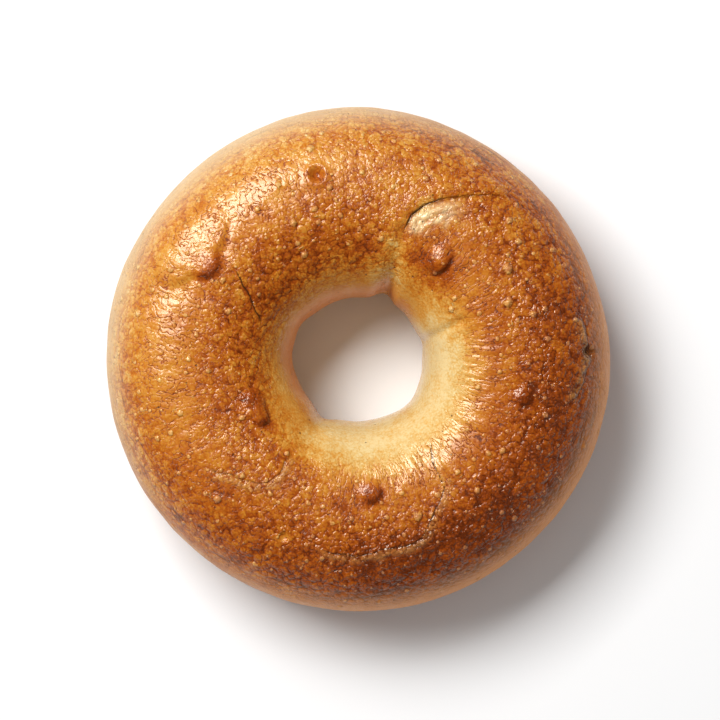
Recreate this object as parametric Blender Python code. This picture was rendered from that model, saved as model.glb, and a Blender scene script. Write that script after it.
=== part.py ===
"""A plain bagel: one ring of dough, rolled into a rope, joined end over end, boiled and baked.

The ring lies on its flat underside, on z = 0, with the hole upright. Angles run
anticlockwise from +X, seen from above. Every point of the skin has a ring angle, round the
hole, and a section angle, round the dough: 0 at the outer side, 90 on top, 180 in the hole.
"""

import math

import bpy

MM = 0.001

# Driving dimensions
OUTER_DIAMETER = 105.0 * MM
HOLE_DIAMETER = 25.8 * MM
HEIGHT = 34.0 * MM
SIDE_HEIGHT = 15.0 * MM  # height of the widest line of the outer side
THROAT_HEIGHT = 14.0 * MM  # height of the narrowest line of the hole
BASE_INSET = 10.0 * MM  # from the widest line in to the flat underside

# Fullness of the dough: 2 is an ellipse, and more is squarer
SHOULDER_FULLNESS = 2.4
UNDERSIDE_FULLNESS = 2.0

# Mesh of the skin
RING_STEPS = 150
SECTION_STEPS = 38
HALF_STEP = 180 / SECTION_STEPS  # the flat underside is one step of the section wide, centred on 270

# Slow unevenness round the ring: (waves round the ring, angle of a crest, height of a crest)
OUTLINE_WAVES = ((1, -30, 0.22 * MM), (2, -53, 0.13 * MM), (3, -28, 0.09 * MM), (4, 3, 0.14 * MM))
CROWN_WAVES = ((1, 118, 0.35 * MM), (2, 35, 0.30 * MM), (3, 250, 0.20 * MM))

# Corners of the hole, where the dough creased as it closed in: (angle, depth, half width in degrees)
HOLE_CORNERS = (
    (14, 0.8 * MM, 15),
    (46, 0.9 * MM, 16),
    (67, 1.6 * MM, 9),
    (149, 0.9 * MM, 14),
    (176, 0.7 * MM, 16),
    (239, 1.1 * MM, 10),
    (323, 1.3 * MM, 22),
    (352, 0.4 * MM, 12),
)

# Creases: points (angle, distance from the middle) along each, then depth and half width
SEAM = ((66, 12.0 * MM), (67, 17.0 * MM), (69, 23.5 * MM), (70, 31.0 * MM), (66, 35.5 * MM),
        (58, 41.0 * MM), (48, 46.0 * MM))
SEAM_DEPTH = 1.4 * MM
SEAM_HALF_WIDTH = 1.5 * MM
SEAM_END_SHARE = 0.35  # depth left at the outer end of the seam
THROAT_CREASE = ((14, 12.0 * MM), (17, 17.0 * MM), (20, 23.0 * MM))
THROAT_CREASE_DEPTH = 0.6 * MM
THROAT_CREASE_HALF_WIDTH = 1.1 * MM

# Blisters and dents of the top: (angle, distance from the middle, length along the radius,
# length round the ring, height), with a dent's height below zero
BLISTERS = (
    (147.7, 38.4 * MM, 7.4 * MM, 8.4 * MM, 0.9 * MM),
    (51.1, 26.6 * MM, 6.6 * MM, 4.2 * MM, 1.1 * MM),
    (207.5, 23.6 * MM, 4.0 * MM, 7.6 * MM, 1.1 * MM),
    (102.2, 39.6 * MM, 4.8 * MM, 4.8 * MM, -1.0 * MM),
    (347.2, 35.9 * MM, 4.2 * MM, 4.2 * MM, 0.6 * MM),
    (276.4, 28.2 * MM, 4.4 * MM, 4.4 * MM, 0.6 * MM),
    (247.7, 40.3 * MM, 3.6 * MM, 3.6 * MM, -0.6 * MM),
    (2.0, 48.4 * MM, 3.4 * MM, 5.0 * MM, -0.8 * MM),
)

CRUST_COLOUR = (0.52, 0.235, 0.055, 1.0)
CRUST_ROUGHNESS = 0.38


def turn_between(a, b):
    """The angle from b to a, in degrees, between -180 and 180."""
    return (a - b + 180.0) % 360.0 - 180.0


def waves(angle, crests):
    return sum(height * math.cos(math.radians(count * (angle - crest))) for count, crest, height in crests)


def bell(distance, half_width):
    """1 in the middle, and about 0.37 at half_width."""
    return math.exp(-((distance / half_width) ** 2))


def outer_radius(angle):
    return OUTER_DIAMETER / 2 + waves(angle, OUTLINE_WAVES)


def hole_radius(angle):
    corners = sum(depth * bell(turn_between(angle, at), spread) for at, depth, spread in HOLE_CORNERS)
    return HOLE_DIAMETER / 2 + corners


def crown_height(angle):
    return HEIGHT + waves(angle, CROWN_WAVES)


def on_superellipse(section, fullness):
    """Across and up, each from -1 to 1, for a section angle in degrees."""
    across, up = math.cos(math.radians(section)), math.sin(math.radians(section))
    size = (abs(across) ** fullness + abs(up) ** fullness) ** (1 / fullness)
    return across / size, up / size


def round_the_flat(section):
    """Stretches each lower quarter, so that 270 is reached half a step early, at the flat's edge."""
    stretch = 90 / (90 - HALF_STEP)
    return 180 + (section - 180) * stretch if section < 270 else 360 - (360 - section) * stretch


def section_point(angle, section):
    """Distance from the middle and height of a point of the plain dough, without relief."""
    outer, hole = outer_radius(angle), hole_radius(angle)
    crown = (OUTER_DIAMETER + HOLE_DIAMETER) / 4
    above = section <= 180
    outside = section < 90 or section > 270
    if above:
        across, up = on_superellipse(section, SHOULDER_FULLNESS)
    else:
        across, up = on_superellipse(round_the_flat(section), UNDERSIDE_FULLNESS)
    widest_height = SIDE_HEIGHT if outside else THROAT_HEIGHT
    if above:
        reach = outer - crown if outside else crown - hole
        return crown + across * reach, widest_height + up * (crown_height(angle) - widest_height)
    flat_edge = outer - BASE_INSET if outside else hole + BASE_INSET
    return flat_edge + across * BASE_INSET, widest_height * (1 + up)


def plan(angle, distance):
    return distance * math.cos(math.radians(angle)), distance * math.sin(math.radians(angle))


def crease_depth(x, y, course, half_width, end_share=1.0):
    """How deep a crease is at x, y, as a share of its full depth; it shallows towards its outer end."""
    points = [plan(*point) for point in course]
    deepest = 0.0
    for step, ((ax, ay), (bx, by)) in enumerate(zip(points, points[1:])):
        along_x, along_y = bx - ax, by - ay
        share = ((x - ax) * along_x + (y - ay) * along_y) / (along_x**2 + along_y**2)
        share = min(max(share, 0.0), 1.0)
        gap = math.hypot(x - ax - share * along_x, y - ay - share * along_y)
        travelled = (step + share) / (len(points) - 1)
        deepest = max(deepest, bell(gap, half_width) * (1 - (1 - end_share) * travelled))
    return deepest


def relief(angle, distance):
    """How far the top of the skin stands out of the plain dough, at this place seen from above."""
    x, y = plan(angle, distance)
    height = -SEAM_DEPTH * crease_depth(x, y, SEAM, SEAM_HALF_WIDTH, SEAM_END_SHARE)
    height -= THROAT_CREASE_DEPTH * crease_depth(x, y, THROAT_CREASE, THROAT_CREASE_HALF_WIDTH)
    for at, out, long, wide, rise in BLISTERS:
        round_ring = math.radians(turn_between(angle, at)) * distance
        height += rise * bell(math.hypot((distance - out) / long, round_ring / wide), 0.5)
    return height


def skin_point(angle, section):
    """A point of the finished skin. Relief pushes it away from the middle of the dough's section."""
    distance, height = section_point(angle, section)
    fade = min(1.0, max(0.0, math.sin(math.radians(section)) * 4 + 1))  # none on the underside
    middle = (outer_radius(angle) + hole_radius(angle)) / 2
    out, up = distance - middle, height - SIDE_HEIGHT
    push = fade * relief(angle, distance) / math.hypot(out, up)
    return (*plan(angle, distance + push * out), height + push * up)


def crust_material():
    material = bpy.data.materials.new("baked_crust")
    material.use_nodes = True
    shader = material.node_tree.nodes["Principled BSDF"]
    shader.inputs["Base Color"].default_value = CRUST_COLOUR
    shader.inputs["Roughness"].default_value = CRUST_ROUGHNESS
    shader.inputs["Metallic"].default_value = 0.0
    return material


def build_bagel():
    """A torus whose every vertex is moved to its place on the skin of the dough."""
    bpy.ops.mesh.primitive_torus_add(
        major_segments=RING_STEPS, minor_segments=SECTION_STEPS, major_radius=1.0, minor_radius=0.25
    )
    bagel = bpy.context.object
    bagel.name = bagel.data.name = "bagel"
    for vertex in bagel.data.vertices:
        x, y, z = vertex.co
        angle = math.degrees(math.atan2(y, x)) % 360
        section = math.degrees(math.atan2(z, math.hypot(x, y) - 1.0)) % 360
        vertex.co = skin_point(angle, section)
    stand_on_middle(bagel.data)
    bagel.data.materials.append(crust_material())
    bagel.data.shade_smooth()
    return bagel


def stand_on_middle(mesh):
    """Shifts the ring so that the middle of its outline, seen from above, is at x = y = 0."""
    for axis in (0, 1):
        places = [vertex.co[axis] for vertex in mesh.vertices]
        middle = (min(places) + max(places)) / 2
        for vertex in mesh.vertices:
            vertex.co[axis] -= middle


def clear_scene():
    for thing in list(bpy.data.objects):
        bpy.data.objects.remove(thing)


clear_scene()
build_bagel()
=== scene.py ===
import math

import bpy
import numpy as np
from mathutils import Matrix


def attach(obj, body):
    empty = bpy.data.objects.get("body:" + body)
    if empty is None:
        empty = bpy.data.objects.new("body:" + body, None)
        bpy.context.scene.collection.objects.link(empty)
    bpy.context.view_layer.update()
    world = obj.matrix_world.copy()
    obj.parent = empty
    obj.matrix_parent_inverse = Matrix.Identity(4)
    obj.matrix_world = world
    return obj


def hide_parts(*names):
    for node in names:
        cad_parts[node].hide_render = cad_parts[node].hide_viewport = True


# A plain bagel: one ring of dough, joined end over end, boiled and baked. The crust is one closed skin.
# Angles are degrees: a ring angle runs anticlockwise from +X seen from above, and a section angle runs
# from the outer side (0) over the top (90) into the hole (180) and under it (270).
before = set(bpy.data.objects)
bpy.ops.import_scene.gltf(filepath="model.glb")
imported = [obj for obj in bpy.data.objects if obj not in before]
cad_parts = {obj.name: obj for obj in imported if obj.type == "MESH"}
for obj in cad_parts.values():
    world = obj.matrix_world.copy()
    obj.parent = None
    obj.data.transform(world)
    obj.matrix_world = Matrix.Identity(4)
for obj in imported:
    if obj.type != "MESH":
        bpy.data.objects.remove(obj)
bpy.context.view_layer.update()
mm = 0.001
cameraHeight = 0.628  # above the widest line of the dough
shadedSide = -45  # ring angle facing away from the softbox, from which the painted light and shade in the colour are measured

dough = {
    "outerDiameter": 105.0 * mm,
    "holeDiameter": 25.8 * mm,
    "height": 34.0 * mm,
    "sideHeight": 15.0 * mm,  # height of the widest line of the outer side
    "throatHeight": 14.0 * mm,  # height of the narrowest line of the hole
    "baseInset": 10.0 * mm,  # from the widest line in to the flat underside
    "shoulderFullness": 2.4,  # 2 is an ellipse, and more is squarer
    "undersideFullness": 2.0,
    "flatHalfAngle": 180 / 38,
    "outlineWaves": ((1, -30, 0.22 * mm), (2, -53, 0.13 * mm), (3, -28, 0.09 * mm), (4, 3, 0.14 * mm)),
    "crownWaves": ((1, 118, 0.35 * mm), (2, 35, 0.30 * mm), (3, 250, 0.20 * mm)),
    "holeCorners": (  # (angle, depth, half width in degrees)
        (14, 0.8 * mm, 15), (46, 0.9 * mm, 16), (67, 1.6 * mm, 9), (149, 0.9 * mm, 14),
        (176, 0.7 * mm, 16), (239, 1.1 * mm, 10), (323, 1.3 * mm, 22), (352, 0.4 * mm, 12),
    ),
}
grid = {
    "ringSteps": 600,
    "sectionSteps": 165,
    "undersideShare": 0.3,  # how closely the underside is divided, beside the top
}


def turnBetween(a, b):
    # the turn from b to a in degrees, wrapped to -180..180
    return (a - b + 180.0) % 360.0 - 180.0


def waves(angle, crests):
    # a sum of cosines, height * cos(count * (angle - crest))
    return sum(height * np.cos(np.radians(count * (angle - crest))) for count, crest, height in crests)


def bell(distance, halfWidth):
    # e to the power of minus (distance / halfWidth) squared
    return np.exp(-((distance / halfWidth) ** 2))


def softStep(value, start, end):
    # 0 at start, 1 at end, and t * t * (3 - 2t) between
    t = np.clip((value - start) / (end - start), 0.0, 1.0)
    return t * t * (3 - 2 * t)


def plan(angle, distance):
    # x = distance * cos(angle), y = distance * sin(angle)
    return distance * np.cos(np.radians(angle)), distance * np.sin(np.radians(angle))


def doughNoise(points, size, seed):
    # values from -1 to 1 drawn for each corner of a lattice of cubes of this size, joined smoothly between
    cell = points / size
    low = np.floor(cell).astype(np.int64)
    t = cell - low
    t = t * t * t * (t * (t * 6 - 15) + 10)
    total = np.zeros(points.shape[:-1])
    for corner in np.ndindex(2, 2, 2):
        x, y, z = (low[..., axis] + corner[axis] for axis in range(3))
        mixed = (x * 73856093) ^ (y * 19349663) ^ (z * 83492791) ^ (seed * 26544357)
        mixed = ((mixed ^ (mixed >> 13)) * 1274126177) & 0xFFFFFFFF
        value = ((mixed ^ (mixed >> 16)) & 0xFFFF) / 32767.5 - 1.0
        share = [t[..., axis] if corner[axis] else 1 - t[..., axis] for axis in range(3)]
        total += value * share[0] * share[1] * share[2]
    return total


def outerRadius(angle):
    return dough["outerDiameter"] / 2 + waves(angle, dough["outlineWaves"])


def holeRadius(angle):
    # the hole's radius, with a bell-shaped corner wherever the dough creased as it closed in
    corners = sum(depth * bell(turnBetween(angle, at), spread) for at, depth, spread in dough["holeCorners"])
    return dough["holeDiameter"] / 2 + corners


def plainDough(angle, section):
    # distance from the middle, and height: quarters of |x|^n + |y|^n = 1 from the widest line of the outer
    # side to the crown, the throat, the flat of the underside, and back
    outer, hole = outerRadius(angle), holeRadius(angle)
    crown = (dough["outerDiameter"] + dough["holeDiameter"]) / 4
    section = section % 360
    above = section <= 180
    outside = (section < 90) | (section > 270)
    stretch = 90 / (90 - dough["flatHalfAngle"])
    inward = np.minimum(180 + (section - 180) * stretch, 270)
    outward = np.maximum(360 - (360 - section) * stretch, 270)
    turned = np.radians(np.where(above, section, np.where(outside, outward, inward)))
    fullness = np.where(above, dough["shoulderFullness"], dough["undersideFullness"])
    size = (np.abs(np.cos(turned)) ** fullness + np.abs(np.sin(turned)) ** fullness) ** (1 / fullness)
    across, up = np.cos(turned) / size, np.sin(turned) / size
    widest = np.where(outside, dough["sideHeight"], dough["throatHeight"])
    reach = np.where(outside, outer - crown, crown - hole)
    inset = dough["baseInset"]
    flatEdge = np.where(outside, outer - inset, hole + inset)
    rise = dough["height"] + waves(angle, dough["crownWaves"]) - widest
    distance = np.where(above, crown + across * reach, flatEdge + across * inset)
    height = np.where(above, widest + up * rise, widest * (1 + up))
    flat = np.abs(section - 270) < dough["flatHalfAngle"]
    along = (section - 270) / dough["flatHalfAngle"] / 2 + 0.5
    distance = np.where(flat, (hole + inset) + along * (outer - hole - 2 * inset), distance)
    return distance, np.where(flat, 0.0, height)


def asSeen(distance, height):
    # how far from the middle a place looks from the camera, where every place on the top is measured:
    # distance / (1 - height above the widest line / cameraHeight)
    return distance / (1 - (height - dough["sideHeight"]) / cameraHeight)


def measureSection():
    # finely stepped section angles, the distance from the middle at each, the same as seen, and the length
    # along the skin from the outer side, measured at one ring angle for all
    fine = np.linspace(-90, 270, 7201)
    distance, height = plainDough(np.array(100.0), fine)
    length = np.concatenate([[0], np.cumsum(np.hypot(np.diff(distance), np.diff(height)))])
    return fine, distance, asSeen(distance, height), length - np.interp(0, fine, length)


fineSection, fineDistance, fineSeen, fineLength = measureSection()


def sectionAngles():
    # section angles from -90 to 270, spaced evenly along the skin but wider apart on the underside
    middle = (fineSection[1:] + fineSection[:-1]) / 2
    weight = grid["undersideShare"] + (1 - grid["undersideShare"]) * (
        softStep(middle, -40, -5) - softStep(middle, 190, 220))
    travelled = np.concatenate([[0], np.cumsum(np.diff(fineLength) * weight)])
    wanted = np.arange(grid["sectionSteps"]) / grid["sectionSteps"] * travelled[-1]
    return np.interp(wanted, travelled, fineSection)


def lengthAt(seen):
    # the length along the skin at which the top looks this far from the middle
    top = (fineSection >= 25) & (fineSection <= 165)
    return np.interp(-seen, -fineSeen[top], fineLength[top])


def alongCourse(x, y, course):
    # for each place: the distance to the run of points, the share of the run travelled at the nearest place,
    # and which side of the run it is on (1 is the left, going along it)
    px, py = plan(np.array([p[0] for p in course], float), np.array([p[1] for p in course], float))
    gap, share, side = (np.full(np.shape(x), value) for value in (1.0, 0.0, 1.0))
    for step in range(len(course) - 1):
        dx, dy = px[step + 1] - px[step], py[step + 1] - py[step]
        t = np.clip(((x - px[step]) * dx + (y - py[step]) * dy) / (dx**2 + dy**2), 0, 1)
        offX, offY = x - px[step] - t * dx, y - py[step] - t * dy
        distance = np.hypot(offX, offY)
        closer = distance < gap
        gap = np.where(closer, distance, gap)
        share = np.where(closer, (step + t) / (len(course) - 1), share)
        side = np.where(closer, np.where(dx * offY - dy * offX > 0, 1.0, -1.0), side)
    return gap, share, side


# The seam, where one end of the rope lies over the other: points (angle, distance from the middle)
seam = {
    "course": ((66, 12.0 * mm), (67, 17.0 * mm), (69, 23.5 * mm), (70, 29.0 * mm), (69.5, 32.3 * mm),
               (66.5, 35.0 * mm), (63.5, 37.0 * mm), (60, 39.2 * mm), (55, 41.9 * mm), (50.5, 44.6 * mm),
               (46.5, 46.8 * mm)),
    # a pair of plain numbers is the shares of the course between which something starts or ends
    "notch": 1.3 * mm,  # depth at the hole
    "notchEnd": (0.02, 0.22),
    "depth": 0.5 * mm,  # depth beyond the hole's wall
    "grooveEnd": (0.80, 1.0),
    "halfWidth": 1.5 * mm,
    "lip": 0.55 * mm,  # how far the upper end of the rope stands over the lower one
    "lipStart": (0.27, 0.36),
    "lipEnd": (0.90, 1.0),
    "lipMiddle": 0.7 * mm,
    "lipWidth": 2.2 * mm,
    "stretchHeight": 0.20 * mm,  # of the ridges in the stretched dough beside the crack
    "paleStart": (0.1 * mm, 0.8 * mm),  # how far from the crack the stretched dough turns pale
    "paleEdge": (3.2 * mm, 6.6 * mm),  # and how far from it the pale dough ends
    "paleEnd": (0.55, 0.82),
    "crackEnd": (0.58, 0.66),
    "crackDepth": 0.35,  # in millimetres
}
throatCrease = {
    "course": ((14, 12.0 * mm), (17, 17.0 * mm), (20, 23.0 * mm)),
    "depth": 0.6 * mm,
    "halfWidth": 1.0 * mm,
}
# Large blisters: (angle, distance, length along the radius, length round the ring, height, squareness of
# the dome, where 2 is round and more is flat-topped with a steep edge, and how far the gentle side is drawn
# out, towards the softbox)
largeBlisters = (
    (147.6, 38.2 * mm, 7.8 * mm, 7.4 * mm, 0.8 * mm, 4.2, 2.6),
    (49.8, 27.0 * mm, 6.4 * mm, 4.6 * mm, 1.1 * mm, 2.0, 0.4),
    (207.5, 23.6 * mm, 4.4 * mm, 7.0 * mm, 1.1 * mm, 2.2, 0.5),
    (347.2, 35.9 * mm, 3.8 * mm, 3.8 * mm, 0.6 * mm, 2.6, 0.3),
    (276.4, 28.2 * mm, 4.6 * mm, 4.6 * mm, 0.6 * mm, 2.2, 0.3),
)
# Where the crust is flatter than the round of the dough: (angle, distance, half its width in degrees, half
# its length, how far its two sides are raised)
flatterPlaces = ((146.0, 39.3 * mm, 16, 6.2 * mm, 0.42 * mm),)
# Burst blisters: (angle, distance, radius of the rim, height of the rim, radius of the pit, depth of the pit)
burstBlisters = (
    (102.2, 39.6 * mm, 2.05 * mm, 0.42 * mm, 1.35 * mm, 1.10 * mm),
    (247.7, 40.3 * mm, 1.30 * mm, 0.15 * mm, 1.00 * mm, 0.55 * mm),
    (2.0, 48.6 * mm, 1.10 * mm, 0.10 * mm, 1.10 * mm, 0.90 * mm),
)
rimHalfWidth = 0.55 * mm  # of a burst blister
# Creases of the bake: points (angle, distance), depth, darkness of the painted shade in it, and height of the
# lip on one side (1 is the left, going along it)
bakeCreases = (
    (((143.6, 31.6 * mm), (145.2, 29.8 * mm), (149.7, 26.2 * mm), (154.5, 23.6 * mm), (158.4, 21.6 * mm)),
     0.16 * mm, 1.0, 0.0, 1),
    (((255.3, 39.6 * mm), (263.2, 40.7 * mm), (270, 41.2 * mm), (278.3, 40.4 * mm), (285.5, 40.6 * mm),
      (290, 39.9 * mm), (293.7, 38.0 * mm), (296.9, 36.1 * mm), (299.8, 34.5 * mm), (304.2, 32.6 * mm),
      (305.5, 30.0 * mm), (306.5, 27.4 * mm), (309.5, 24.4 * mm), (314.6, 21.5 * mm)),
     0.05 * mm, 0.9, 0.11 * mm, -1),
    (((215.9, 38.5 * mm), (219.4, 37.6 * mm), (222.5, 35.5 * mm), (226.9, 35.0 * mm), (231.1, 33.5 * mm),
      (234.7, 31.6 * mm), (236.5, 28.7 * mm), (235.1, 25.8 * mm), (235.9, 23.9 * mm)),
     0.14 * mm, 0.5, 0.14 * mm, -1),
    (((12.0, 47.4 * mm), (6.0, 48.5 * mm), (0.5, 48.9 * mm), (-6.3, 47.6 * mm), (-12.0, 46.6 * mm)),
     0.16 * mm, 0.6, 0.14 * mm, -1),
)
blisters = {
    "seed": 11,
    "tries": 1100,
    "radius": (0.30 * mm, 0.72 * mm),
    "rise": 0.36,  # height as a share of the radius
    "apart": 1.1 * mm,  # least space between two edges
    "sections": (20, 118),  # the section angles they are scattered between
    "inMesh": 0.6 * mm,  # from this radius up the mesh carries the dome
    "margin": 0.7 * mm,  # how far beyond its edge a blister's field reaches
    # those that stand out: (angle, distance from the middle, radius)
    "placed": (
        (31.0, 36.9 * mm, 1.15 * mm), (20.5, 33.9 * mm, 1.15 * mm), (102.5, 45.2 * mm, 0.95 * mm),
        (115.0, 31.6 * mm, 0.85 * mm), (105.8, 29.8 * mm, 0.7 * mm), (-69.0, 35.2 * mm, 1.1 * mm),
        (14.5, 38.1 * mm, 0.9 * mm), (225.0, 41.3 * mm, 1.0 * mm), (159.6, 28.7 * mm, 0.75 * mm),
        (42.4, 43.4 * mm, 0.9 * mm), (98.9, 36.5 * mm, 0.8 * mm), (6.2, 40.2 * mm, 0.75 * mm),
        (-32.0, 36.0 * mm, 0.7 * mm), (-59.0, 33.0 * mm, 0.7 * mm), (116.7, 24.5 * mm, 0.9 * mm),
        (28.0, 22.0 * mm, 0.7 * mm), (88.5, 39.2 * mm, 0.7 * mm), (36.0, 42.0 * mm, 0.8 * mm),
    ),
}


def scatterBlisters():
    # the placed ones, then a seeded scatter even over the skin in which none comes near another; each is an
    # angle, a length along the skin, a distance from the middle and a radius
    draw = np.random.default_rng(blisters["seed"])
    placed = [(at, lengthAt(distance), distance, radius) for at, distance, radius in blisters["placed"]]
    lowest, highest = np.interp(blisters["sections"], fineSection, fineLength)
    small, large = blisters["radius"]
    tries = blisters["tries"]
    at, length = draw.uniform(0, 360, tries), draw.uniform(lowest, highest, tries)
    distance = np.interp(length, fineLength, fineDistance)
    radius = small + (large - small) * draw.uniform(0, 1, tries) ** 2.2
    kept = draw.uniform(0, dough["outerDiameter"] / 2, tries) < distance
    for candidate in zip(at[kept], length[kept], distance[kept], radius[kept]):
        table = np.array(placed)
        roundRing = np.radians(turnBetween(table[:, 0], candidate[0])) * candidate[2]
        space = np.hypot(roundRing, table[:, 1] - candidate[1]) - table[:, 3] - candidate[3]
        if space.min() > blisters["apart"]:
            placed.append(candidate)
    return placed


def blisterFields(angle, length, distance):
    # the height of the domes, (1 - gap^2)^1.2 with the gap a share of the radius, and for the material the
    # place within the nearest blister, as shares of its radius, and its size in millimetres
    height, near, size = (np.zeros(distance.shape) for _ in range(3))
    roundAt, alongAt = np.full(distance.shape, 9.0), np.full(distance.shape, 9.0)
    for at, middle, _, radius in scatterBlisters():
        roundRing = np.radians(turnBetween(angle, at)) * distance
        along = length - middle + 0 * roundRing
        gap = np.hypot(roundRing, along)
        within = gap < radius + blisters["margin"]
        roundAt = np.where(within, roundRing / radius, roundAt)
        alongAt = np.where(within, along / radius, alongAt)
        near = np.where(within, 1.0, near)
        size = np.where(within, radius / mm, size)
        if radius >= blisters["inMesh"]:
            dome = np.clip(1 - (gap / radius) ** 2, 0, 1) ** 1.2
            height = np.maximum(height, blisters["rise"] * radius * dome)
    return height, np.stack([roundAt, alongAt, near], axis=-1), size


def acrossBlister(angle, seen, at, out, long, wide):
    # the place as a share of the blister's half length and width, and the cosine of its direction from the
    # blister's middle, measured from the side away from the softbox
    roundRing, along = np.radians(turnBetween(angle, at)) * seen, seen - out
    gap = np.hypot(along / long, roundRing / wide) * 2
    return gap, np.cos(np.arctan2(roundRing, along) + np.radians(at - shadedSide))


def ovalBell(angle, seen, at, out, long, wide):
    # 1 in the middle of an oval, and about 0.37 at its rim
    roundRing = np.radians(turnBetween(angle, at)) * seen
    return bell(np.hypot((seen - out) / long, roundRing / wide), 0.5)


def formRelief(angle, seen):
    # the seam's groove, the crease in the hole's wall, and large and burst blisters
    x, y = plan(angle, seen)
    gap, share, _ = alongCourse(x, y, seam["course"])
    depth = seam["depth"] + (seam["notch"] - seam["depth"]) * (1 - softStep(share, *seam["notchEnd"]))
    height = -depth * (1 - softStep(share, *seam["grooveEnd"])) * bell(gap, seam["halfWidth"])
    gap, _, _ = alongCourse(x, y, throatCrease["course"])
    height = height - throatCrease["depth"] * bell(gap, throatCrease["halfWidth"])
    for at, out, long, wide, rise, squareness, drawnOut in largeBlisters:
        gap, facing = acrossBlister(angle, seen, at, out, long, wide)
        gentle = softStep(-facing, -0.3, 0.7)
        gap = gap / (1 + drawnOut * gentle)
        height = height + rise * np.clip(1 - gap ** (squareness + (2 - squareness) * gentle), 0, 1)
    for at, out, spread, long, rise in flatterPlaces:
        squared = ((seen - out) / long) ** 2
        height = height + rise * squared * np.exp(1 - squared) * bell(turnBetween(angle, at), spread)
    for at, out, rim, rimHeight, pit, pitDepth in burstBlisters:
        roundRing = np.radians(turnBetween(angle, at)) * seen
        gap = np.hypot(seen - out, roundRing)
        height = height + rimHeight * bell(gap - rim, rimHalfWidth) - pitDepth * np.exp(-((gap / pit) ** 4))
    return height


def buildSkin():
    # every point is a ring angle and a section angle. The plain dough is pushed out from the middle of its
    # section by the relief, and shifted so that the middle of its outline is at x = y = 0.
    angle = np.arange(grid["ringSteps"])[:, None] * (360.0 / grid["ringSteps"])
    section = sectionAngles()[None, :]
    distance, height = plainDough(angle, section)
    seen = asSeen(distance, height)
    top = np.clip(np.sin(np.radians(section)) * 4 + 1, 0, 1)
    middle = (outerRadius(angle) + holeRadius(angle)) / 2
    out, up = distance - middle, height - dough["sideHeight"]
    push = top * formRelief(angle, seen) / np.hypot(out, up)
    x, y = plan(angle, distance + push * out)
    outlineX, outlineY = plan(angle, outerRadius(angle))
    x = x - (outlineX.min() + outlineX.max()) / 2
    y = y - (outlineY.min() + outlineY.max()) / 2
    points = np.stack([x, y, height + push * up], axis=-1)
    return angle, section, distance, seen, top, points


def normalsOf(points):
    # the cross product of the steps along the ring and along the section
    roundRing = np.roll(points, -1, axis=0) - np.roll(points, 1, axis=0)
    roundDough = np.roll(points, -1, axis=1) - np.roll(points, 1, axis=1)
    normal = np.cross(roundRing, roundDough)
    return normal / np.linalg.norm(normal, axis=-1, keepdims=True)


bake = {
    # slow lumps: (size, height, seed)
    "lumps": ((16 * mm, 0.22 * mm, 3), (7 * mm, 0.09 * mm, 4), (3.2 * mm, 0.06 * mm, 5)),
    "wander": (0.45 * mm, 2.4 * mm),  # how far the creases wander, and over what length
    "wrinkleHeight": 0.12 * mm,
    "wrinklePitch": 2.2 * mm,
    "wrinkleRadius": 33 * mm,  # where the wrinkles' pitch is true
    # where the skin is wrinkled: (angle, half width in degrees, distance, half length, share, extra height)
    "wrinkledPlaces": (
        (-38, 80, 26 * mm, 7 * mm, 1.0, 1.0), (180, 50, 38 * mm, 7 * mm, 1.0, 0.8),
        (125, 45, 39 * mm, 6 * mm, 1.0, 0.0), (48, 24, 29 * mm, 6 * mm, 0.7, 0.0),
    ),
    "wrinkledElsewhere": 0.12,
    "smootherBlisters": 0.55,  # share of the wrinkles and pebbles that a large blister lacks
    # browning runs from 0, pale dough, to 1, dark brown; each has a mean and a swing from side to side
    # the swings follow the light: slopes that face the softbox are painted paler and slopes that face away
    # darker, painted light and painted shade, partly real browning
    "edgeOfPale": (20.5 * mm, 3.9 * mm),
    "widthOfEdge": (4.8 * mm, 2.4 * mm),
    "crown": (0.60, 0.02),
    "shoulder": (0.64, 0.25),
    "innerSlopeShade": 0.12,  # painted shade on the slope into the hole, on the side of the ring nearer the softbox, where the slope faces away from it
    "side": (0.48, 0.06),
    # the hole's wall: its swing is painted shade where the wall faces away from the softbox
    "hole": (0.04, 0.28),
    "underside": 0.6,
    # painted shade at the foot of a large blister, on its steep side away from the softbox
    "shadeAtBlisterFoot": 0.36,
    # the darker patches on the shaded sides of bumps and blisters, in burst pits and on the shoulder at 283
    # degrees are painted shade, partly real browning; the rest are the crust's own colour
    # patches darker or paler: (angle, distance, length along the radius and round the ring, browning)
    "patchesAndShade": (
        (45.0, 25.8 * mm, 5.0 * mm, 6.5 * mm, 0.26), (57.0, 25.5 * mm, 4.0 * mm, 4.5 * mm, 0.16),
        (148.5, 36.4 * mm, 2.8 * mm, 6.6 * mm, 0.11), (200.5, 23.8 * mm, 4.0 * mm, 4.0 * mm, 0.26),
        (347.0, 35.7 * mm, 4.6 * mm, 4.6 * mm, 0.26), (275.4, 28.4 * mm, 4.2 * mm, 4.2 * mm, 0.29),
        (102.2, 39.6 * mm, 2.8 * mm, 2.8 * mm, 0.26), (2.0, 48.6 * mm, 3.0 * mm, 3.4 * mm, 0.40),
        (283.0, 44.5 * mm, 9.0 * mm, 26.0 * mm, 0.08),
        (15.0, 38.5 * mm, 9.0 * mm, 9.0 * mm, 0.10), (32.0, 27.0 * mm, 8.0 * mm, 9.0 * mm, -0.10),
        (72.0, 24.0 * mm, 12.0 * mm, 5.5 * mm, -0.28), (66.0, 34.0 * mm, 7.0 * mm, 4.0 * mm, -0.18),
        (305.0, 34.0 * mm, 12.0 * mm, 4.0 * mm, -0.10), (247.7, 40.3 * mm, 2.0 * mm, 2.0 * mm, -0.3),
    ),
}


def swung(name, turn):
    mean, swing = bake[name]
    return mean + swing * turn


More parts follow.
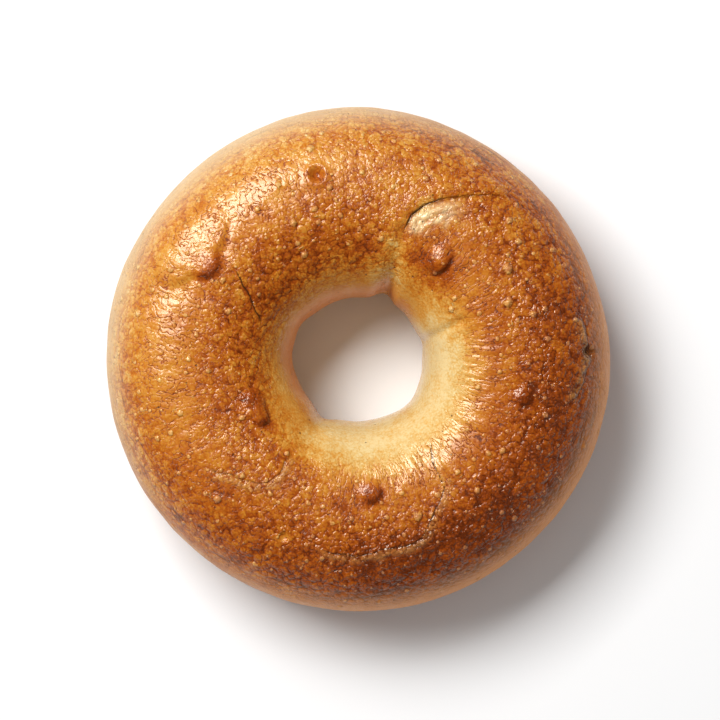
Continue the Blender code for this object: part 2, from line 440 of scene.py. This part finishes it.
def browningOf(angle, section, distance, seen, points):
    # how browned the crust is, with painted light and shade that follow each slope's facing to the softbox;
    # turn is the cosine of the angle from the side away from the softbox
    turn = np.cos(np.radians(angle - shadedSide))
    slow = 0.7 * doughNoise(points, 12 * mm, 51) + 0.5 * doughNoise(points, 5 * mm, 52)
    edge = swung("edgeOfPale", turn) + 0.9 * mm * slow
    width = swung("widthOfEdge", turn)
    browned = softStep(distance, edge - width, edge + width) * (section < 180)
    brown = swung("crown", turn)
    brown = brown + (swung("shoulder", turn) - brown) * softStep(distance, 30 * mm, 42 * mm)
    brown = brown + bake["innerSlopeShade"] * np.clip(-turn, 0, 1) * bell(distance - 23 * mm, 5 * mm)
    # the wall of the hole is painted browner where it faces away from the softbox: painted shade
    pale, holeSwing = bake["hole"]
    holeTone = pale + holeSwing * softStep(-turn, -0.6, 0.1)
    tone = holeTone + (brown - holeTone) * browned
    side = swung("side", turn)
    tone = side + (tone - side) * softStep(section, 16, 42)
    for *place, more in bake["patchesAndShade"]:
        tone = tone + more * ovalBell(angle, seen, *place) * (section < 180)
    for *place, _, _, _ in largeBlisters:
        # the foot of a large blister is painted darker on its steep side, away from the softbox: painted
        # shade
        gap, facing = acrossBlister(angle, seen, *place)
        foot = bell(gap - 0.86, 0.24) * softStep(facing, -0.1, 0.7)
        tone = tone + bake["shadeAtBlisterFoot"] * foot * (section < 180)
    tone = tone + 0.06 * slow
    under = np.clip(softStep(section, 215, 250) + 1 - softStep(section, -70, -35), 0, 1)
    return tone + (bake["underside"] + 0.1 * slow - tone) * under, browned


def lumpsOf(points, top):
    # slow lumps over the whole skin, lower on the underside
    lumps = sum(rise * doughNoise(points, size, seed) for size, rise, seed in bake["lumps"])
    return lumps * (0.35 + 0.65 * top)


def smoothedOnBlisters(angle, seen):
    # 1 away from the large blisters, and less on them
    share = np.ones(seen.shape)
    for *place, _, _, _ in largeBlisters:
        share *= 1 - bake["smootherBlisters"] * ovalBell(angle, seen, *place)
    return share


def wrinkleFields(angle, distance, length, points):
    # wrinkles run from the hole outwards: noise drawn out along the section, folded at its middle value.
    # Gives the place in that noise, how wrinkled the skin is, and the height of the wrinkles
    ringX, ringY = plan(angle, bake["wrinkleRadius"])
    drawnOut = 0.36 + 0.34 * bell(turnBetween(angle, 150), 60)
    space = np.stack([ringX + 0 * length, ringY + 0 * length, length * drawnOut], axis=-1)
    sway = np.stack([doughNoise(points, 5 * mm, seed) for seed in (21, 22, 23)], axis=-1)
    folded = np.abs(doughNoise(space + sway * 0.9 * mm, bake["wrinklePitch"], 31))
    wrinkled, tall = bake["wrinkledElsewhere"], 1.0
    for at, spread, out, long, share, extra in bake["wrinkledPlaces"]:
        here = bell(turnBetween(angle, at), spread) * bell(distance - out, long)
        wrinkled = wrinkled + share * here
        tall = tall + extra * here
    return space, np.clip(wrinkled, 0, 1), bake["wrinkleHeight"] * tall * (np.sqrt(folded) - 0.6)


def seamFields(x, y, top, points):
    # the upper end of the rope stands over the lower, with stretched dough under its edge. Gives the relief,
    # how pale the stretched dough is, and the crack: signed space to it in millimetres, its painted shade and
    # depth
    gap, share, side = alongCourse(x, y, seam["course"])
    over = softStep(share, *seam["lipStart"]) * (1 - softStep(share, *seam["lipEnd"])) * top
    relief = seam["lip"] * over * (side > 0) * bell(gap - seam["lipMiddle"], seam["lipWidth"])
    stretched = np.cos(gap / mm * 3.6 + 3.0 * doughNoise(points, 2.0 * mm, 61))
    relief += seam["stretchHeight"] * over * (side < 0) * stretched * bell(gap - 2.2 * mm, 2.0 * mm)
    ragged = gap + 1.3 * mm * doughNoise(points, 1.8 * mm, 62)
    pale = over * (side < 0) * softStep(gap, *seam["paleStart"]) * (1 - softStep(ragged, *seam["paleEdge"]))
    pale = pale * (1 - softStep(share, *seam["paleEnd"])) * (0.75 + 0.25 * stretched)
    opened = over * (1 - 0.6 * softStep(share, *seam["crackEnd"]))
    signed = np.where(gap < 3 * mm, gap * side / mm, 9.0)
    return relief, pale, signed, opened, opened * seam["crackDepth"]


def creaseFields(x, y, top, signed, darkness, depth):
    # adds the creases of the bake to the crack's field, and gives the relief and the share of their lips
    relief, lip = np.zeros(x.shape), np.zeros(x.shape)
    for course, deep, dark, lipHeight, lipSide in bakeCreases:
        gap, share, side = alongCourse(x, y, course)
        ends = softStep(share, 0.0, 0.08) * (1 - softStep(share, 0.92, 1.0)) * top
        within = gap < 1.6 * mm
        signed = np.where(within, gap * side / mm, signed)
        darkness = np.where(within, dark * ends, darkness)
        depth = np.where(within, deep / mm * ends, depth)
        onLip = (side * lipSide > 0) * bell(gap - 0.8 * mm, 0.7 * mm) * ends
        relief += lipHeight * onLip
        lip = np.maximum(lip, onLip * lipHeight / (0.16 * mm))
    return relief, lip, np.stack([signed, darkness, depth], axis=-1)


def colourFields(angle, section, distance, seen, top, points, smoothed):
    # browning; where the rim is painted paler on the lit side, painted sheen and light, partly a paler side;
    # where warm bounce light is painted on the shaded rim and the shaded wall of the hole; and where the
    # crust is streaked as on the side, and pebbly
    tone, browned = browningOf(angle, section, distance, seen, points)
    towardLight = -np.cos(np.radians(angle - shadedSide))
    aboveFoot = softStep(section, -48, 12)  # fades the side's colours out towards the underside
    # painted sheen and light on the lit side of the rim, partly a paler side
    tan = (1 - softStep(section, 24, 54)) * 0.85 * softStep(towardLight, -0.1, 1.0)
    # painted warm bounce light: on the rim of the shaded side, partly the side's own colour, and on the wall
    # of the hole where it faces away from the softbox
    bounceOnSide = (1 - softStep(section, 22, 50)) * 0.85 * softStep(-towardLight, -0.5, 0.9)
    bounceInHole = softStep(section, 138, 160) * 0.72 * softStep(towardLight, -0.4, 0.6)
    pebblyPart = np.maximum(softStep(section, 6, 44), 0.3 * aboveFoot) * (section < 180)
    return {
        "browning": tone,
        "tan": tan * aboveFoot,
        "warmBounce": bounceOnSide * aboveFoot + bounceInHole * top,
        "side": (1 - softStep(section, 30, 58)) * aboveFoot + 0 * angle,
        "pebbly": (0.15 + 0.85 * np.where(section < 20, 1.0, browned)) * pebblyPart * smoothed,
    }


def dressSkin():
    # the fine relief, along the skin's normal, and the fields that the material reads
    angle, section, distance, seen, top, points = buildSkin()
    normal = normalsOf(points)
    reach, size = bake["wander"]
    x, y = plan(angle, seen)
    x = x + reach * doughNoise(points, size, 71)
    y = y + reach * doughNoise(points, size, 72)
    length = np.interp(section, fineSection, fineLength)
    smoothed = smoothedOnBlisters(angle, seen)
    domes, blisterAt, blisterSize = blisterFields(angle, length, distance)
    wrinkleSpace, wrinkled, wrinkles = wrinkleFields(angle, distance, length, points)
    wrinkled = wrinkled * top * softStep(distance, 17 * mm, 24 * mm) * smoothed
    onSeam, pale, *crack = seamFields(x, y, top, points)
    onLips, lip, creaseAt = creaseFields(x, y, top, *crack)
    relief = lumpsOf(points, top) + domes + wrinkled * wrinkles + onSeam + onLips
    relief *= 1 - softStep(np.abs(section - 90), 150, 172)  # none where it rests
    points = points + normal * relief[..., None]
    points[..., 2] = np.maximum(points[..., 2], 0)
    fields = colourFields(angle, section, distance, seen, top, points, smoothed)
    fields.update(pale=pale, lip=lip, wrinkled=wrinkled, wrinkleSpace=wrinkleSpace, blisterAt=blisterAt,
                  blisterSize=blisterSize, creaseAt=creaseAt)
    return points, fields


def addMesh(name, points):
    # quads between neighbouring columns and rings, closed both ways, their faces outward
    rings, columns = points.shape[:2]
    index = np.arange(rings * columns).reshape(rings, columns)
    nextRing, nextColumn = np.roll(index, -1, axis=0), np.roll(index, -1, axis=1)
    quads = np.stack([index, nextRing, np.roll(nextRing, -1, axis=1), nextColumn], axis=-1).reshape(-1)
    mesh = bpy.data.meshes.new(name)
    mesh.vertices.add(rings * columns)
    mesh.vertices.foreach_set("co", points.astype(np.float32).ravel())
    mesh.loops.add(len(quads))
    mesh.loops.foreach_set("vertex_index", quads.astype(np.int32))
    mesh.polygons.add(len(quads) // 4)
    mesh.polygons.foreach_set("loop_start", np.arange(0, len(quads), 4, dtype=np.int32))
    mesh.update(calc_edges=True)
    mesh.shade_smooth()
    piece = bpy.data.objects.new(name, mesh)
    bpy.context.scene.collection.objects.link(piece)
    return piece


def addField(mesh, name, values):
    kind, slot = ("FLOAT_VECTOR", "vector") if values.ndim == 3 else ("FLOAT", "value")
    mesh.attributes.new(name, kind, "POINT").data.foreach_set(slot, values.astype(np.float32).ravel())


def addNode(tree, kind, settings=None, **inputs):
    # a node; its inputs are set or joined by name, with _ for a space, or by place as n0, n1
    node = tree.nodes.new(kind)
    for name, value in (settings or {}).items():
        setattr(node, name, value)
    for name, value in inputs.items():
        place = int(name[1:]) if name[1:].isdigit() else name.replace("_", " ")
        if isinstance(value, bpy.types.NodeSocket):
            tree.links.new(value, node.inputs[place])
        else:
            node.inputs[place].default_value = value
    return node


def calculate(tree, operation, first, second=0.0, third=0.0):
    node = addNode(tree, "ShaderNodeMath", {"operation": operation}, n0=first, n1=second, n2=third)
    return node.outputs[0]


def product(tree, first, *others):
    for other in others:
        first = calculate(tree, "MULTIPLY", first, other)
    return first


def addShare(tree, base, share, amount):
    # base + share * amount
    return calculate(tree, "MULTIPLY_ADD", share, amount, base)


def centred(tree, value):
    return calculate(tree, "SUBTRACT", value, 0.5)


def domeOf(tree, share):
    # 1 - share squared, and 0 beyond the rim
    squared = calculate(tree, "MULTIPLY", share, share)
    return calculate(tree, "MAXIMUM", addShare(tree, 1.0, squared, -1.0), 0.0)


def mapRange(tree, value, start, end, low=0.0, high=1.0):
    node = addNode(tree, "ShaderNodeMapRange", {"interpolation_type": "SMOOTHSTEP"},
                   n0=value, n1=start, n2=end, n3=low, n4=high)
    return node.outputs[0]


def noiseOf(tree, place, scale, detail, roughness=0.5):
    return addNode(tree, "ShaderNodeTexNoise", None, Vector=place, Scale=scale, Detail=detail,
                   Roughness=roughness).outputs


def addVectors(tree, first, second):
    return addNode(tree, "ShaderNodeVectorMath", {"operation": "ADD"}, n0=first, n1=second).outputs[0]


def bellOf(tree, value, halfWidth):
    # e to the power of minus (value / halfWidth) squared
    squared = calculate(tree, "POWER", calculate(tree, "ABSOLUTE", value), 2.0)
    return calculate(tree, "EXPONENT", calculate(tree, "MULTIPLY", squared, -1 / halfWidth**2))


def readField(tree, name, output="Fac"):
    return addNode(tree, "ShaderNodeAttribute", {"attribute_name": name}).outputs[output]


def readParts(tree, name):
    return addNode(tree, "ShaderNodeSeparateXYZ", None, n0=readField(tree, name, "Vector")).outputs


def mixColour(tree, share, first, second):
    return addNode(tree, "ShaderNodeMix", {"data_type": "RGBA"}, n0=share, n6=first, n7=second).outputs[2]


crustFinish = {
    "ramp": (  # browning, then the colour there
        (0.00, (0.73, 0.560, 0.270)),
        (0.15, (0.68, 0.430, 0.140)),
        (0.30, (0.62, 0.295, 0.052)),
        (0.45, (0.54, 0.193, 0.018)),
        (0.60, (0.44, 0.112, 0.007)),
        (0.75, (0.33, 0.063, 0.004)),
        (0.90, (0.21, 0.035, 0.003)),
        (1.00, (0.13, 0.021, 0.002)),
    ),
    # colours laid over it in turn: the feature, its strength, and the colour
    "overlays": (
        # painted sheen and light on the lit side of the rim, partly a paler side
        ("tan", 1.0, (0.61, 0.42, 0.21, 1)),
        # painted warm bounce light on the shaded rim and the shaded wall of the hole, partly the side's own
        # colour
        ("warmBounce", 1.0, (0.78, 0.27, 0.03, 1)),
        ("cap", 0.24, (0.82, 0.46, 0.20, 1)),
        ("stretched", 0.9, (0.86, 0.66, 0.34, 1)),
        ("lipTop", 0.42, (0.62, 0.36, 0.11, 1)),
        ("pore", 0.7, (0.055, 0.016, 0.006, 1)),
        # painted shade in cracks and creases
        ("crack", 1.0, (0.055, 0.016, 0.006, 1)),
    ),
    # how much each feature browns the crust; the darkening in gaps between pebbles, in wrinkle valleys and
    # round the feet of blisters is painted shade
    "browns": {"pebbleToneAndGapShade": 0.43, "patchTone": 0.45, "grainTone": 0.40, "streakTone": 0.8, "dash": 0.40,
               "valleyShade": 0.36, "cap": -0.20, "capRingShade": 0.10},
    # how far each stands out, in millimetres
    "rises": {"fold": 0.17, "valley": -0.09, "pebble": 1.0, "capHigh": 0.34, "grain": 0.028,
              "grainOnWrinkles": -0.022, "pore": -0.08, "dash": -0.06, "streakHigh": 0.18, "crease": -1.0},
    # how much each dulls the gloss
    "dulls": {"patchTone": 0.3, "valleyShade": 0.45, "matte": 0.25},
    # two sizes of pebbles: cells to a metre, radius of the smallest and largest as a share of a cell
    "pebbles": ((780, 0.50, 1.05), (1600, 0.45, 1.05)),
    "pebbleHeight": 0.21,  # as a share of the radius
    "roughness": (0.21, 0.24),  # among the pebbles, and where the skin is wrinkled
    "specular": 0.65,
    "gloss": (1.0, 0.91, 0.77, 1),  # the colour of what the crust mirrors
}
crustNoise = {  # cells to a metre, unless a line says otherwise
    "sway": 420.0,
    "swayReach": 1.6 * mm,
    "patch": 210.0,
    "grain": 2200.0,
    "wrinkle": 900.0,
    "streaks": 520.0,
    "streakScale": (0.30, 0.30, 3.2),  # draws the streaks out round the ring
    "pores": 520.0,
    "poreShare": 0.16,  # of the cells
}


def pebbleLayer(tree, place, cells, smallest, largest):
    # round domes of random size, one to a cell: 1 - (distance / radius)^2, how far the place is into the thin
    # gap between two, and their height in millimetres
    cell = addNode(tree, "ShaderNodeTexVoronoi", {"feature": "F1"}, Vector=place, Scale=cells)
    drawn = addNode(tree, "ShaderNodeSeparateColor", None, Color=cell.outputs["Color"]).outputs
    radius = calculate(tree, "MULTIPLY_ADD", drawn[0], largest - smallest, smallest)
    share = calculate(tree, "DIVIDE", cell.outputs["Distance"], radius)
    tall = calculate(tree, "MULTIPLY", radius, crustFinish["pebbleHeight"] / mm / cells)
    return mapRange(tree, share, 0.62, 1.05), product(tree, domeOf(tree, share), tall), drawn[1]


def browningRamp(tree, tone):
    ramp = addNode(tree, "ShaderNodeValToRGB", None, Fac=tone)
    stops = ramp.color_ramp.elements
    first, *between, last = crustFinish["ramp"]
    stops[0].color, stops[1].color = (*first[1], 1), (*last[1], 1)
    for position, colour in between:
        stops.new(position).color = (*colour, 1)
    return ramp.outputs["Color"]


def findNoises(tree, found):
    # the noises that the features share
    place = found["place"] = addNode(tree, "ShaderNodeTexCoord").outputs["Object"]
    sway = noiseOf(tree, place, crustNoise["sway"], 2.0)["Color"]
    found["sway"] = addNode(tree, "ShaderNodeVectorMath", {"operation": "SCALE"}, n0=sway,
                            Scale=crustNoise["swayReach"]).outputs[0]
    found["patch"] = noiseOf(tree, place, crustNoise["patch"], 4.0, 0.62)["Fac"]
    found["patchTone"] = centred(tree, found["patch"])
    found["grain"] = noiseOf(tree, place, crustNoise["grain"], 1.0)["Fac"]
    found["grainTone"] = centred(tree, found["grain"])


def findPebbles(tree, found):
    # crowded and uneven, the tops pale, each pebble's tone drawn at random, and the gaps between painted
    # darker as painted shade
    swayed = addVectors(tree, found["place"], found["sway"])
    (coarseGap, coarseHigh, coarseDrawn), (fineGap, fineHigh, _) = (
        pebbleLayer(tree, swayed, *layer) for layer in crustFinish["pebbles"])
    found["pebbleGap"] = addShare(tree, product(tree, fineGap, 0.4), coarseGap, 0.6)
    uneven = addShare(tree, found["pebbleGap"], calculate(tree, "SUBTRACT", coarseDrawn, 1.05), 0.5)
    share = product(tree, found["pebbly"], addShare(tree, 1.0, found["wrinkled"], -0.9))
    # where the crust is darkest the pebbles are plainer in colour and stand out more
    darkest = mapRange(tree, found["browning"], 0.64, 0.92)
    found["pebbleToneAndGapShade"] = product(tree, uneven, share, addShare(tree, 1.0, darkest, -0.45))
    high = calculate(tree, "ADD", coarseHigh, fineHigh)
    found["pebble"] = product(tree, high, addShare(tree, 1.0, darkest, 0.4), share)


def findStreaks(tree, found):
    # on the side of the ring: low streaks drawn out round it, and here and there a thin dark dash
    drawnOut = addNode(tree, "ShaderNodeMapping", None, Vector=found["wrinkleSpace"],
                       Scale=crustNoise["streakScale"]).outputs[0]
    streaks = noiseOf(tree, drawnOut, crustNoise["streaks"], 2.0, 0.6)["Fac"]
    found["streakTone"] = product(tree, centred(tree, streaks), found["side"])
    found["streakHigh"] = product(tree, streaks, found["side"])
    found["dash"] = product(tree, mapRange(tree, streaks, 0.62, 0.68), found["side"])


def findWrinkles(tree, found):
    # thin winding valleys, broken here and there, where a drawn-out noise crosses its middle value; the
    # valleys are painted darker, painted shade
    swayed = addVectors(tree, found["wrinkleSpace"], found["sway"])
    found["wrinkle"] = noiseOf(tree, swayed, crustNoise["wrinkle"], 1.0)["Fac"]
    fold = calculate(tree, "ABSOLUTE", centred(tree, found["wrinkle"]))
    valley = product(tree, mapRange(tree, fold, 0.0, 0.034, 1.0, 0.0),
                     mapRange(tree, found["patch"], 0.38, 0.54, 0.25, 1.0),
                     mapRange(tree, found["grain"], 0.36, 0.54, 0.3, 1.0))
    found["valleyShade"] = product(tree, valley, found["wrinkled"])
    share = calculate(tree, "ADD", found["wrinkled"], 0.10)
    found["fold"], found["valley"] = product(tree, fold, share), product(tree, valley, share)
    found["grainOnWrinkles"] = product(tree, found["grain"], found["wrinkled"])


def findBlisters(tree, found):
    # an uneven dome at each place in the field, ringed by a darker line that is painted shade at its foot
    roundAt, alongAt, near = readParts(tree, "blisterAt")
    roundAt = addShare(tree, roundAt, centred(tree, found["wrinkle"]), 1.1)
    alongAt = addShare(tree, alongAt, found["grainTone"], 0.9)
    gap = calculate(tree, "SQRT", addShare(tree, product(tree, roundAt, roundAt), alongAt, alongAt))
    dome = product(tree, domeOf(tree, gap), near)
    found["cap"] = mapRange(tree, dome, 0.0, 0.8)
    found["capRingShade"] = product(tree, bellOf(tree, calculate(tree, "SUBTRACT", gap, 1.08), 0.16), near)
    found["capHigh"] = product(tree, calculate(tree, "POWER", dome, 0.8), readField(tree, "blisterSize"))


def findCracks(tree, found):
    # stretched dough beside the seam, the lips of creases, pores, and the creases themselves, whose dark line
    # is painted shade
    streak = mapRange(tree, found["wrinkle"], 0.35, 0.6, 0.5, 1.0)
    found["stretched"] = product(tree, readField(tree, "pale"), streak)
    onTops = mapRange(tree, found["pebbleGap"], 0.0, 0.9, 1.0, 0.0)
    found["lipTop"] = product(tree, readField(tree, "lip"), onTops)
    cell = addNode(tree, "ShaderNodeTexVoronoi", {"feature": "F1"}, Vector=found["place"],
                   Scale=crustNoise["pores"]).outputs
    drawn = addNode(tree, "ShaderNodeSeparateColor", None, Color=cell["Color"]).outputs[0]
    picked = calculate(tree, "GREATER_THAN", drawn, 1 - crustNoise["poreShare"])
    found["pore"] = product(tree, mapRange(tree, cell["Distance"], 0.07, 0.15, 1.0, 0.0), picked)
    space, darkness, depth = readParts(tree, "creaseAt")
    space = product(tree, space, mapRange(tree, found["patch"], 0.38, 0.60, 0.65, 1.7))
    broken = mapRange(tree, calculate(tree, "ADD", found["wrinkle"], found["grain"]), 0.72, 0.92)
    found["crack"] = product(tree, bellOf(tree, space, 0.20), darkness, broken)
    found["crease"] = product(tree, bellOf(tree, space, 0.22), depth)


def weighed(tree, base, found, table):
    # base plus each feature times its amount in the table
    for name, amount in crustFinish[table].items():
        base = addShare(tree, base, found[name], amount)
    return base


def crustMaterial():
    # browning picks the colour; pebbles, wrinkles, blisters and creases change both browning and height, and
    # their darker gaps, valleys, rings and creases are painted shade
    material = bpy.data.materials.new("bakedCrust")
    material.use_nodes = True
    tree = material.node_tree
    shader = tree.nodes["Principled BSDF"]
    fieldNames = ("browning", "pebbly", "wrinkled", "side", "tan", "warmBounce")
    found = {name: readField(tree, name) for name in fieldNames}
    found["wrinkleSpace"] = readField(tree, "wrinkleSpace", "Vector")
    found["matte"] = calculate(tree, "MAXIMUM", found["side"], found["warmBounce"])
    for find in (findNoises, findPebbles, findStreaks, findWrinkles, findBlisters, findCracks):
        find(tree, found)
    colour = browningRamp(tree, weighed(tree, found["browning"], found, "browns"))
    for name, strength, laid in crustFinish["overlays"]:
        colour = mixColour(tree, product(tree, found[name], strength), colour, laid)
    tree.links.new(colour, shader.inputs["Base Color"])
    height = weighed(tree, 0.0, found, "rises")
    bump = addNode(tree, "ShaderNodeBump", None, Strength=1.0, Distance=mm, Height=height)
    tree.links.new(bump.outputs["Normal"], shader.inputs["Normal"])
    rough = mapRange(tree, found["wrinkled"], 0.1, 0.8, *crustFinish["roughness"])
    tree.links.new(weighed(tree, rough, found, "dulls"), shader.inputs["Roughness"])
    shader.inputs["Specular IOR Level"].default_value = crustFinish["specular"]
    shader.inputs["Specular Tint"].default_value = crustFinish["gloss"]
    return material


points, fields = dressSkin()
crust = addMesh("bakedCrust", points)
for fieldName, values in fields.items():
    addField(crust.data, fieldName, values)
crust.data.materials.append(crustMaterial())
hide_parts("bagel")
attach(crust, "root")
print("crust made,", len(crust.data.polygons), "faces")

studio = {
    "keyAzimuth": 133.5,
    "keyElevation": 55.0,
    "keyDistance": 0.9,
    "keySize": (0.50, 0.38),
    "keyPower": 10.0,
    "fill": 0.32,
    "cameraLens": 150.0,
    "cameraMiddle": (0.46 * mm, -0.08 * mm),
    "floorAlbedo": 0.87,
    "floorHalf": 3.0,
}


def plainMaterial(name, colour):
    material = bpy.data.materials.new(name)
    material.use_nodes = True
    shader = material.node_tree.nodes["Principled BSDF"]
    shader.inputs["Base Color"].default_value = colour
    shader.inputs["Roughness"].default_value = 1.0
    shader.inputs["Specular IOR Level"].default_value = 0.0
    return material


def buildStudio():
    scene = bpy.context.scene
    scene.view_settings.view_transform = "Standard"
    half = studio["floorHalf"]
    floorMesh = bpy.data.meshes.new("paleFloor")
    corners = [(-half, -half, 0), (half, -half, 0), (half, half, 0), (-half, half, 0)]
    floorMesh.from_pydata(corners, [], [(0, 1, 2, 3)])
    floorMesh.materials.append(plainMaterial("paleFloor", (*[studio["floorAlbedo"]] * 3, 1)))
    floor = bpy.data.objects.new("paleFloor", floorMesh)
    scene.collection.objects.link(floor)
    # even fill, which lights the crust but isn't mirrored in it
    world = bpy.data.worlds.new("softFill")
    scene.world = world
    world.use_nodes = True
    world.node_tree.nodes["Background"].inputs["Color"].default_value = (1, 1, 1, 1)
    world.node_tree.nodes["Background"].inputs["Strength"].default_value = studio["fill"]
    world.cycles_visibility.glossy = False
    key = bpy.data.lights.new("softbox", "AREA")
    key.shape = "RECTANGLE"
    key.size, key.size_y = studio["keySize"]
    key.energy = studio["keyPower"]
    softbox = bpy.data.objects.new("softbox", key)
    azimuth, elevation = math.radians(studio["keyAzimuth"]), math.radians(studio["keyElevation"])
    flatReach = math.cos(elevation) * studio["keyDistance"]
    softbox.location = (math.cos(azimuth) * flatReach, math.sin(azimuth) * flatReach,
                        math.sin(elevation) * studio["keyDistance"])
    softbox.rotation_euler = (math.pi / 2 - elevation, 0, azimuth + math.pi / 2)
    scene.collection.objects.link(softbox)
    camera = bpy.data.cameras.new("overhead")
    camera.lens = studio["cameraLens"]
    camera.sensor_width = 36.0
    overhead = bpy.data.objects.new("overhead", camera)
    overhead.location = (*studio["cameraMiddle"], cameraHeight + dough["sideHeight"])
    scene.collection.objects.link(overhead)
    scene.camera = overhead


buildStudio()
print("studio made")
